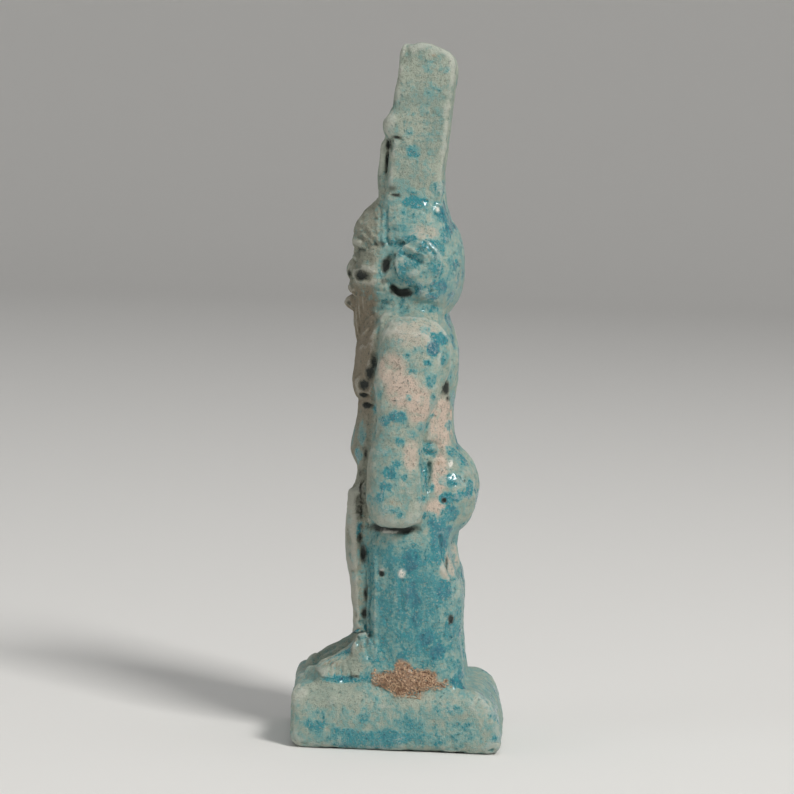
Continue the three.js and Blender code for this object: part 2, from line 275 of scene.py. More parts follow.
# %% The clay and its strokes
class Clay:
    """The figure's skin, in millimetres. A stroke is drawn on it as seen from one side.

    From the side a stroke's points are (y, z), from the front and back (x, z), and from the top
    (x, y). Both halves of the figure take the same stroke, unless half names the left or right.
    """

    AXES = {"side": (1, 2, 0, 1), "front": (0, 2, 1, -1), "back": (0, 2, 1, 1), "top": (0, 1, 2, 1)}

    def __init__(self, mesh):
        self.place = np.empty(len(mesh.vertices) * 3, np.float32)
        mesh.vertices.foreach_get("co", self.place)
        self.place = self.place.reshape(-1, 3).astype(float)
        mesh.calc_loop_triangles()
        self.faces = np.empty(len(mesh.loop_triangles) * 3, np.int32)
        mesh.loop_triangles.foreach_get("vertices", self.faces)
        self.faces = self.faces.reshape(-1, 3)
        self.edges = np.empty(len(mesh.edges) * 2, np.int32)
        mesh.edges.foreach_get("vertices", self.edges)
        self.edges = self.edges.reshape(-1, 2)
        self.settle()

    def gathered(self, index, values):
        """The values added up at the points that index names."""
        columns = [np.bincount(index, column, len(self.place)) for column in values.T]
        return np.stack(columns, axis=1)

    def settle(self):
        """Works out again which way each point faces."""
        a, b, c = (self.place[self.faces[:, k]] for k in range(3))
        normals = np.cross(b - a, c - a)
        facing = sum(self.gathered(self.faces[:, k], normals) for k in range(3))
        self.facing = facing / np.maximum(np.linalg.norm(facing, axis=1, keepdims=True), 1e-12)

    def smoothed(self, values, times):
        """The values after each point has taken its neighbours' average several times."""
        start, end = self.edges.T
        count = np.bincount(self.edges.ravel(), minlength=len(self.place))[:, None]
        for _ in range(times):
            total = self.gathered(start, values[end]) + self.gathered(end, values[start])
            values = 0.5 * values + 0.5 * total / count
        return values

    def seen(self, view, half="both"):
        """The points in the plane of the picture, and how squarely each faces the viewer."""
        across, up, depth, sign = self.AXES[view]
        plane = self.place[:, [across, up]].copy()
        left = np.sign(self.place[:, 0])
        if view == "side":
            towards = self.facing[:, 0] * left
        else:
            plane[:, 0] *= left
            towards = self.facing[:, depth] * sign
        if half != "both":
            towards = np.where(left == (1 if half == "left" else -1), towards, 0)
        return plane, towards

    def bite(self, view, line, width, out=(0, 99), half="both"):
        """How strongly a stroke touches each point, from 0 to 1."""
        plane, towards = self.seen(view, half)
        line = rounded(line)
        reach = np.max(width)
        near = np.all((plane > line.min(0) - reach) & (plane < line.max(0) + reach), axis=1)
        side = np.abs(self.place[:, 0])
        near &= (side > out[0]) & (side < out[1]) & (towards > 0.1)
        touch = np.zeros(len(plane))
        away = distance_to(line / width, plane[near] / width)
        fade = np.clip(np.minimum(side[near] - out[0], out[1] - side[near]) / 0.25, 0, 1)
        touch[near] = np.clip(1 - away**2, 0, 1) ** 2 * np.clip(2.5 * towards[near] - 0.25, 0, 1) * fade
        return touch

    def groove(self, view, line, width, depth, **where):
        """Presses a groove along a line, or a dent if the line is one point."""
        self.place -= self.facing * (depth * self.bite(view, line, width, **where))[:, None]

    def ridge(self, view, line, width, height, **where):
        """Raises a ridge along a line, or a bump if the line is one point."""
        self.groove(view, line, width, -height, **where)

    def soften(self, times, *strokes):
        """Melts the clay where any of the strokes touches it."""
        calm = self.smoothed(self.place, times)
        touch = np.clip(1.8 * np.max(strokes, axis=0), 0, 1)
        self.place += touch[:, None] * (calm - self.place)


clay = Clay(skin)
print("clay spans", np.round(clay.place.min(0), 2), "to", np.round(clay.place.max(0), 2))

# %% [markdown]
# ## The crown of plumes
#
# Bes wears a tall crown of ostrich plumes. Here the front of the plumes has broken away above a
# step. Under the step a thin edge of them is left, with a dark slot behind it, and low down a
# ledge marks the band that held the crown. On the hidden front the plumes are parted by ribs.

# %% Crown
PLUME_RIBS = 5


def carve_crown():
    """The broken front, the slot behind the thin edge, the ledge and the plumes' ribs."""
    clay.groove("side", [(-2.75, 60.2), (-2.8, 59.6)], 0.40, 0.60)
    clay.groove("side", [(-2.8, 59.8), (-2.95, 58.2), (-3.05, 57.0)], 0.28, 0.45)
    clay.groove("side", [(-2.5, 60.7), (-2.1, 60.6), (-1.5, 60.3)], 0.26, 0.20)
    clay.ridge("side", [(-2.5, 62.1)], (0.9, 1.2), 0.16)
    clay.ridge("side", [(-2.2, 59.9)], (0.5, 0.5), 0.10)
    clay.groove("side", [(-2.5, 55.4), (-2.0, 55.3)], (0.9, 0.4), 0.22)
    clay.groove("side", [(-2.6, 55.0), (-1.9, 54.9), (-1.5, 54.7)], 0.22, 0.26)
    clay.groove("side", [(-1.5, 69.9), (-1.3, 69.0), (-1.8, 68.0)], 0.45, 0.30)
    clay.groove("top", [(0.0, -0.9), (3.5, -0.8), (6.5, -1.0)], 0.7, 0.25)
    for plume in range(PLUME_RIBS):
        x = 2.1 * (plume - (PLUME_RIBS - 1) / 2)
        clay.ridge("front", [(abs(x), 55.5), (1.12 * abs(x), 62.6)], 0.35, 0.12)
    for x in (1.0, 3.1):
        clay.groove("back", [(x, 54.5), (1.15 * x, 69.2)], 0.40, 0.14)


clay.soften(40, clay.bite("side", [(-0.3, 54.6), (2.6, 54.0)], 1.3), clay.bite("back", [(0, 54), (4, 54)], 1.6))
carve_crown()
clay.settle()
print("crown top at", round(clay.place[:, 2].max(), 2), "mm")

# %% [markdown]
# ## The mask, the ear and the beard
#
# The face is the god's mask, part dwarf and part lion. The brow is pulled into slanting folds,
# long strands of hair fall from the crown past the temple, the cheeks are round and the tongue
# hangs out. The ear is a lion's: a round rim, a fold inside it, and a hollow. The beard is a
# fan of locks that narrows to a point on the chest. All of it is soft from wear, so the grooves
# are wide for their depth.

# %% Head from the side
def carve_head():
    """Folds of the brow, strands of hair, the cheek, and the hollows round the ear."""
    folds = [
        [(-5.9, 51.2), (-5.4, 50.7), (-4.9, 50.1), (-4.5, 49.7)],
        [(-5.2, 51.6), (-4.8, 51.0), (-4.4, 50.4), (-4.1, 49.9)],
    ]
    strands = [
        [(-4.4, 53.4), (-4.15, 52.2), (-4.1, 51.0), (-3.8, 49.8)],
        [(-3.7, 53.8), (-3.55, 52.5), (-3.55, 51.1), (-3.35, 50.0)],
        [(-3.0, 53.7), (-2.95, 52.3), (-2.95, 51.2), (-2.6, 50.2)],
    ]
    for fold in folds:
        clay.groove("side", fold, 0.42, 0.34, out=(1.2, 8))
    for strand in strands:
        clay.groove("side", strand, 0.36, 0.32, out=(1.2, 8))
    clay.ridge("side", [(-6.1, 50.4), (-5.5, 49.9), (-4.8, 49.55), (-4.2, 49.5)], 0.40, 0.16, out=(1, 8))
    clay.groove("side", [(-6.0, 49.5), (-5.5, 49.35), (-5.1, 49.3)], 0.36, 0.34)
    clay.ridge("side", [(-4.5, 48.3)], (1.3, 1.1), 0.30)
    clay.groove("side", [(-5.7, 46.9), (-5.2, 46.9), (-4.6, 46.7)], 0.60, 0.45, out=(1.6, 8))
    clay.groove("side", [(-4.4, 47.0), (-3.5, 46.9), (-2.9, 46.9)], 0.36, 0.20)
    clay.groove("side", [(-3.0, 47.4), (-2.75, 48.0), (-2.4, 48.7)], (0.45, 0.5), 0.50)
    clay.groove("side", [(-6.6, 46.9)], (0.28, 0.45), 0.28)
    clay.groove("side", [(-7.2, 44.95), (-6.4, 44.9), (-5.9, 45.0)], 0.26, 0.28)
    clay.groove("side", [(-6.6, 43.9)], (0.4, 0.3), 0.12)


def carve_ear():
    """The lion's ear, with the deep recess under it and before it."""
    rim = [(-1.4, 48.4), (-1.4, 49.4), (-1.0, 50.3), (-0.2, 50.8), (0.9, 50.5), (2.1, 49.3)]
    clay.ridge("side", [(-1.9, 47.2), *[(y, z - 0.1) for y, z in rim]], 0.85, 0.22, out=(5, 9))
    clay.groove("side", rim[1:], 0.22, 0.20, out=(5, 9))
    clay.ridge("side", [(-0.7, 49.9), (0.1, 49.6), (1.1, 49.1)], 0.30, 0.30, out=(5, 9))
    clay.groove("side", [(-1.0, 49.2), (-0.2, 48.8), (0.7, 48.5)], 0.42, 0.42, out=(5, 9))
    clay.ridge("side", [(0.1, 47.4)], (1.0, 0.7), 0.22, out=(5, 9))
    clay.groove("side", [(-1.9, 45.7), (-1.2, 45.3), (-0.5, 45.5), (0.2, 45.7)], 0.55, 0.60, out=(4, 9))
    clay.groove("side", [(-2.4, 46.4), (-2.0, 45.9), (-1.6, 45.4)], 0.40, 0.30, out=(4, 9))


def carve_beard():
    """Locks that run from the cheek to the point, on the side and on the front."""
    locks = 8
    for lock in range(locks):
        share = lock / (locks - 1)
        top = (-5.6 + 2.6 * share, 46.0 - 0.6 * share)
        tip = (-5.6 + 1.2 * share, 39.8 + 1.2 * share)
        middle = ((top[0] + tip[0]) / 2 + 0.30 * share, (top[1] + tip[1]) / 2)
        clay.groove("side", [top, middle, tip], 0.24, 0.20, out=(0.8, 6.5))
    clay.groove("side", [(-2.6, 45.0), (-3.2, 43.2), (-4.6, 40.6)], 0.50, 0.25, out=(2, 8))
    for x in (0.5, 1.4, 2.3, 3.2, 4.1):
        clay.groove("front", [(x, 43.6), (0.9 * x, 42.0), (0.45 * x, 40.0)], 0.26, 0.22)


clay.soften(50, clay.bite("side", [(-4.2, 51.5), (-3.6, 50.0)], (2.6, 2.4)))
clay.soften(160, clay.bite("side", [(0.4, 48.4)], (3.8, 3.8), out=(4, 9)))
clay.settle()
carve_head()
carve_ear()
carve_beard()
clay.settle()
print("head carved, nose at y", round(clay.place[:, 1].min(), 2))

# %% [markdown]
# The front of the mask can't be seen in the picture, so it is finished from what such figures
# share: almond eyes with a rim, wide nostrils, a moustache, a thin mouth over the tongue, and
# short locks of the mane round the cheeks. It is kept plainer than the side that shows.

# %% Mask from the front
def ring(middle, halves, steps=14):
    """An oval line round a middle."""
    turns = np.linspace(0, math.tau, steps + 1)
    return [(middle[0] + halves[0] * math.cos(a), middle[1] + halves[1] * math.sin(a)) for a in turns]


def carve_mask():
    """Eyes, nostrils, mouth, moustache and the locks of the mane."""
    clay.groove("front", ring((2.45, 48.6), (1.25, 0.62)), 0.26, 0.24)
    clay.ridge("front", [(2.45, 48.6)], (1.0, 0.5), 0.18)
    clay.groove("front", [(1.0, 46.75)], (0.45, 0.35), 0.35)
    clay.groove("front", [(1.6, 48.2), (2.1, 47.3), (1.9, 46.5)], 0.28, 0.20)
    clay.groove("front", [(0.0, 45.0), (1.3, 44.9), (2.6, 44.4)], 0.26, 0.32)
    clay.groove("front", [(1.35, 44.8), (1.45, 44.0), (0.9, 43.2), (0.0, 43.0)], 0.24, 0.22)
    for x in (0.7, 1.5, 2.3):
        clay.groove("front", [(x, 46.1), (x + 0.5, 45.6), (x + 0.6, 45.0)], 0.22, 0.14)
    for height in (51.3, 52.1, 52.9):
        clay.groove("front", [(0.3, height - 0.4), (1.5, height), (2.8, height - 0.3)], 0.30, 0.14)
    for turn in np.radians(np.arange(-40, 70, 13)):
        inner = (6.1 * math.cos(turn), 47.8 + 5.2 * math.sin(turn))
        outer = (7.3 * math.cos(turn), 47.8 + 6.2 * math.sin(turn))
        clay.groove("front", [inner, outer], 0.32, 0.22)


carve_mask()
clay.settle()
print("mask carved")

# %% [markdown]
# ## Trunk and arms
#
# The arms hang close to the trunk, and the mould left deep creases beside them: a dark hollow
# before the armpit, two pits where the waist folds, a long crease down the front of the arm, a
# recess behind the shoulder, and a wedge between the elbow and the hip that is still full of
# glaze. The blunt hand ends in a lip over the thigh.

# %% Trunk and arms from the side
def melt_trunk():
    """The forms of the mould run together at the shoulder, the back and the hip."""
    shoulder = clay.bite("side", [(0.2, 43.6), (2.8, 42.6), (4.2, 40.6)], 1.8)
    back = clay.bite("side", [(4.4, 40.0), (4.4, 36.0), (4.0, 32.0)], 1.6)
    hip = clay.bite("side", [(2.6, 30.5), (3.6, 28.5), (2.6, 24.0), (3.4, 21.5)], 2.2, out=(0, 8.2))
    waist = clay.bite("back", [(0.5, 30.0), (3.5, 30.0), (5.5, 28.0)], 1.8)
    seat = clay.bite("back", [(1.2, 21.0), (3.4, 20.8), (5.6, 21.5)], 1.6)
    belly = clay.bite("side", [(-4.6, 29.0), (-4.4, 26.0)], 1.6)
    loins = clay.bite("front", [(0.0, 27.5), (3.5, 27.6), (6.0, 27.8)], 1.6)
    clay.soften(70, hip, waist, seat, belly, loins)
    clay.soften(220, shoulder, back)


def carve_trunk():
    """The creases and pits between the chest, the waist and the arm."""
    clay.groove("side", [(-3.4, 39.0), (-3.6, 37.8), (-4.1, 36.8), (-4.5, 35.9)], 0.70, 0.45, out=(3.5, 7.5))
    clay.groove("side", [(-4.7, 34.9), (-4.3, 34.9)], (0.40, 0.28), 0.50, out=(3, 7.5))
    clay.groove("side", [(-4.3, 34.0), (-3.9, 33.8)], (0.45, 0.30), 0.50, out=(3, 7.5))
    clay.ridge("side", [(-5.2, 34.4), (-4.4, 34.4), (-3.6, 34.5)], 0.26, 0.14, out=(3, 7.5))
    crease = [(-3.3, 42.4), (-3.3, 39.2), (-3.5, 36.7), (-3.6, 34.3), (-3.9, 29.8), (-4.1, 26.8), (-3.9, 23.1)]
    clay.groove("side", crease, 0.40, 0.25, out=(4.5, 8.3))
    clay.groove("side", [(-4.1, 29.4), (-4.1, 28.6)], 0.26, 0.25, out=(4.5, 8.5))
    clay.groove("front", [(0.0, 31.0)], (0.45, 0.40), 0.40)
    clay.groove("front", [(1.2, 37.4), (3.0, 36.9), (4.6, 37.4)], 0.40, 0.14)
    clay.groove("front", [(0.0, 34.2), (2.4, 34.3), (5.0, 34.6)], 0.45, 0.20)


def carve_arms():
    """The elbow, the wedge behind it, and the hand's lower lip."""
    for rise in (-0.45, 0.0, 0.45):
        clay.groove("side", [(-2.4, 31.8 + rise), (-1.3, 32.0 + rise), (-0.3, 31.7 + rise)], 0.20, 0.07, out=(8, 12))
    clay.groove("side", [(3.75, 36.8), (3.6, 35.9), (3.3, 35.0)], 0.50, 0.50, out=(4.5, 9))
    back_crease = [(3.3, 35.1), (2.6, 32.9), (1.7, 31.2), (1.7, 28.9), (2.1, 25.2)]
    clay.groove("side", back_crease, 0.36, 0.30, out=(4.5, 9.6))
    wedge = [(1.9, 30.5), (3.2, 30.4), (3.2, 29.6), (2.0, 29.6)]
    clay.groove("side", wedge, 0.42, 0.45, out=(4.5, 9.8))
    clay.groove("side", [(2.2, 29.0), (2.3, 28.0)], 0.42, 0.32, out=(4.5, 9.8))
    clay.groove("side", [(2.25, 28.4), (2.2, 26.6), (2.1, 25.0)], 0.34, 0.42, out=(4.5, 9.8))
    clay.groove("side", [(-3.3, 22.2), (-1.7, 21.9), (-0.3, 21.9), (1.3, 22.3)], 0.60, 0.45, out=(6, 9.2))
    clay.groove("side", [(0.4, 24.6), (0.3, 23.6)], 0.22, 0.12, out=(8, 12))
    clay.ridge("side", [(-2.0, 21.6), (-1.0, 21.6)], 0.30, 0.30, out=(6, 9.2), half="left")
    for x in (7.5, 8.2, 8.9):
        clay.groove("front", [(x, 26.0), (x, 24.2), (x - 0.1, 22.8)], 0.24, 0.16)


def carve_back():
    """The line of the spine, the shoulder blades, and the fine wrinkles over the hip."""
    clay.groove("back", [(0.0, 41.5), (0.0, 36.0), (0.0, 29.5)], 0.8, 0.35)
    clay.groove("back", [(1.8, 40.6), (3.0, 38.6), (2.8, 37.0)], 0.6, 0.18)
    clay.groove("back", [(0.0, 28.4), (0.0, 23.0)], 0.55, 0.45)
    for y, bottom in ((4.1, 30.4), (4.5, 29.2), (4.9, 28.2)):
        clay.groove("side", [(y, 33.6), (y + 0.1, 31.5), (y + 0.7, bottom)], 0.16, 0.08)


melt_trunk()
carve_trunk()
carve_arms()
carve_back()
clay.settle()
print("trunk, arms and back carved")

# %% [markdown]
# ## Legs and feet
#
# From the side the leg is a flat column with a narrow ridge along its front edge, a dirty groove,
# and the shin standing forward of that. The tail of the lion's skin shows as a thin strip behind
# the calf. The foot is broad, and shallow notches mark the toes.

# %% Legs and feet
def fill_legs():
    """The shin is thicker than its core, and the foot flows out of the leg."""
    clay.ridge("side", [(-4.2, 25.5), (-4.3, 21.0), (-3.9, 17.0), (-3.5, 13.0), (-3.4, 9.6)], 1.7, 1.5, out=(3, 8))
    clay.settle()
    shin = clay.bite("side", [(-3.4, 26.0), (-3.4, 20.0), (-3.0, 14.0), (-3.0, 9.0)], 1.5)
    ankle = clay.bite("side", [(-3.6, 9.6), (-4.2, 8.2), (-2.2, 7.2)], 2.6)
    sole = clay.bite("side", [(-6.5, 6.6), (-2.0, 6.6), (2.0, 6.6), (6.0, 6.8)], 1.1)
    instep = clay.bite("top", [(3.5, -3.5), (4.6, -5.5)], 2.6)
    clay.soften(60, shin, sole)
    clay.soften(200, ankle, instep)


def carve_legs():
    """The groove beside the shin, the ridge along the column, and the runs of the glaze."""
    shin = [(-4.2, 22.0), (-3.8, 19.4), (-3.45, 15.6), (-3.35, 13.2), (-2.9, 9.0)]
    clay.groove("side", shin, 0.50, 0.32, out=(3.2, 9))
    for spot in ((-4.3, 20.9), (-3.9, 19.2), (-3.5, 15.2), (-3.6, 13.2)):
        clay.groove("side", [spot], (0.35, 0.6), 0.20, out=(3.2, 9))
    clay.ridge("side", [(-2.9, 20.5), (-2.6, 17.0), (-2.4, 12.0), (-2.3, 9.2)], 0.34, 0.16, out=(5, 9))
    clay.groove("side", [(-0.15, 17.2), (0.0, 15.8), (0.05, 14.2)], 0.36, 0.16, out=(6, 9))
    clay.groove("side", [(1.2, 16.6), (1.3, 14.4), (1.2, 12.6)], 0.50, 0.10, out=(6, 9))
    clay.ridge("side", [(0.65, 17.0), (0.7, 15.4), (0.6, 14.2)], 0.24, 0.14, out=(6, 9))
    clay.ridge("side", [(0.0, 17.7)], (0.32, 0.42), 0.16, half="left")
    tail = [(3.7, 21.4), (4.0, 19.8), (4.5, 18.3), (5.1, 17.2)]
    clay.groove("side", tail, 0.26, 0.34, out=(0.9, 8))
    clay.groove("front", [(0.0, 21.5), (0.0, 16.0), (0.0, 9.0)], 0.9, 0.5)
    clay.ridge("front", [(3.9, 19.6)], (1.1, 1.2), 0.22)


def carve_feet():
    """Toes, seen from the side and from above, and the crease under the foot."""
    for y, z in ((-6.9, 8.0), (-6.3, 7.8), (-5.6, 7.6), (-4.9, 7.6)):
        clay.groove("side", [(y, z + 0.2), (y + 0.1, z - 0.2), (y + 0.1, z - 0.7)], 0.20, 0.18, out=(2.5, 9))
    clay.groove("side", [(-8.4, 7.3), (-7.2, 6.8), (-5.6, 6.8), (-4.2, 7.1)], 0.28, 0.16, out=(3, 8.9))
    for toe in range(4):
        x = 3.6 + 0.95 * toe + 0.35
        clay.groove("top", [(x, -8.5 + 0.12 * toe**2), (x - 0.35, -7.0 + 0.1 * toe**2)], 0.24, 0.28)


fill_legs()
carve_legs()
carve_feet()
clay.settle()
print("legs and feet carved")

# %% [markdown]
# ## The base
#
# The block was pressed by hand. Its long edge on the near side is round and worn, the far corner
# at the front stands a little forward, and a low crust of sand has stuck to the near side of the
# base beside the leg. The edge is rounded by a formula: what lies outside a quarter circle is
# moved onto it.

# %% Base
BASE_TOP = 6.2
BASE_HALF = 9.0
NEAR_EDGE = 1.9
CRUST_MIDDLE = (1.1, 7.0)
CRUST_HALVES = (3.3, 1.35)


def shape_base():
    """Rounds the near edge, and draws the far front corner forward."""
    x, y, z = clay.place.T
    beyond, above = x - (BASE_HALF - NEAR_EDGE), z - (BASE_TOP - NEAR_EDGE)
    away = np.hypot(beyond, above)
    outside = (beyond > 0) & (above > 0) & (away > NEAR_EDGE)
    share = np.where(outside, np.clip((7.0 - z) / 0.7, 0, 1), 0)
    pull = share * (NEAR_EDGE / np.maximum(away, NEAR_EDGE) - 1)
    forward = np.clip((-y - 5) / 5, 0, 1) * np.clip((5 - x) / 13, 0, 1) * np.clip((7.5 - z) / 1.0, 0, 1)
    clay.place[:, 0] += pull * beyond
    clay.place[:, 2] += pull * above
    clay.place[:, 1] -= 0.62 * forward


def heap_crust():
    """A low heap for the sand to sit on."""
    clay.ridge("side", [CRUST_MIDDLE], CRUST_HALVES, 0.45, out=(7.0, 10), half="left")
    clay.ridge("side", [(0.6, 8.0)], (1.0, 0.9), 0.20, out=(7.0, 10), half="left")


shape_base()
clay.settle()
edge_line = [(-9.5, 5.6), (0.0, 5.7), (9.0, 5.5)]
clay.soften(30, clay.bite("side", edge_line, 1.6, half="left"))
clay.settle()
heap_crust()
clay.settle()
print("base reaches", round(clay.place[:, 0].max(), 2), "mm to the near side")

# %% [markdown]
# ## Wear, lumps and pits
#
# The paste is never smooth. Broad lumps come from the mould, finer ones from the paste drying.
# Small bubbles burst in the glaze and left pits, and a few larger ones can be picked out one by
# one. Last, what stands out has been rubbed: the skin is pulled towards its smoothed self where
# it bulges, and left as it is in the hollows.

# %% Wear
def lump():
    """Unevenness in four widths, and the pits of burst bubbles."""
    broad = 0.10 * soft_noise(clay.place, 3.2, 11) + 0.06 * soft_noise(clay.place, 1.3, 12)
    fine = 0.055 * soft_noise(clay.place, 0.62, 13) + 0.040 * soft_noise(clay.place, 0.36, 14)
    bubbles = np.clip(soft_noise(clay.place, 0.46, 15) - 0.50, 0, 1) / 0.50
    thick = np.clip(0.5 + soft_noise(clay.place, 4.0, 16), 0, 1)
    clay.place += clay.facing * (broad + fine - 0.30 * bubbles * thick)[:, None]


def pick_out_pits():
    """The pits and the nodules that the eye finds at once, each with its width and depth."""
    pits = [
        ((-2.0, 17.5), 0.34, 0.40),
        ((4.1, 49.3), 0.26, 0.40),
        ((4.1, 50.3), 0.20, 0.25),
        ((3.9, 25.0), 0.30, 0.32),
        ((0.3, 26.9), 0.22, 0.25),
        ((5.1, 12.9), 0.28, 0.30),
        ((5.0, 13.5), 0.22, 0.20),
        ((2.9, 10.8), 0.22, 0.20),
    ]
    nodules = [((2.2, 53.5), 0.36, 0.34), ((2.7, 54.1), 0.34, 0.20), ((4.4, 28.6), 0.30, 0.14)]
    for middle, width, depth in pits:
        clay.groove("side", [middle], (width, width * 1.15), depth, half="left", out=(3, 12))
    for middle, width, height in nodules:
        clay.ridge("side", [middle], (width, width), height, half="left")


def rub():
    """Wears what stands out and keeps the hollows."""
    calm = clay.smoothed(clay.place, 10)
    bulge = np.clip(np.sum((clay.place - calm) * clay.facing, axis=1) / 0.10, 0, 1)
    clay.place += 0.6 * bulge[:, None] * (calm - clay.place)
    over = clay.place[:, 2] < 0
    clay.place[over, 2] = 0


lump()
pick_out_pits()
rub()
clay.settle()
print("worn clay spans", np.round(clay.place.min(0), 2), "to", np.round(clay.place.max(0), 2))

# %% [markdown]
# ## One finished mesh
#
# The even skin has more triangles than the shapes need. Collapsing edges keeps them where the
# carving is and thins them on the flat sides of the base and the crown.

# %% The finished mesh
TRIANGLES = 196_000

skin.vertices.foreach_set("co", clay.place.astype(np.float32).ravel())
skin.update()
thinned = baked(
    "thinned",
    skin,
    ("DECIMATE", {"ratio": TRIANGLES / len(clay.faces), "use_collapse_triangulate": True}),
)
thinned.shade_smooth()
clay = Clay(thinned)
print("finished mesh:", len(clay.faces), "triangles")

# %% [markdown]
# ## What the surface remembers
#
# The finish depends on the shape. Hollows hold dirt and are painted darker as shade, edges are
# rubbed pale, and glaze stays where it was thick. These are stored on the mesh as attributes, so
# that the material can read them.
# A hollow is where the surface lies below its own smoothed self, measured at two widths.
#
# Where the glaze survived follows no rule, so its patches are listed, as a restorer would
# note them: a middle (y, z) on the side of the figure, the half sizes, and how much glaze is left.

# %% Hollows and edges
def remember(name, values):
    """Stores one number for each point of the finished mesh."""
    attribute = thinned.attributes.new(name, "FLOAT", "POINT")
    attribute.data.foreach_set("value", np.clip(values, -1, 2).astype(np.float32))


def sunk(times):
    """How far each point lies below the surface after it has been smoothed."""
    calm = clay.smoothed(clay.place, times)
    return np.sum((calm - clay.place) * clay.facing, axis=1)


narrow, wide = sunk(8), sunk(70)
hollow = np.clip(narrow / 0.10, 0, 1) * 0.55 + np.clip(wide / 0.42, 0, 1) * 0.75
edge = np.clip(-narrow / 0.06, 0, 1) * 0.5 + np.clip(-wide / 0.45, 0, 1) * 0.6
remember("hollow", hollow)
remember("edge", edge)
print("share of hollow surface:", round(float(np.mean(hollow > 0.4)), 3))

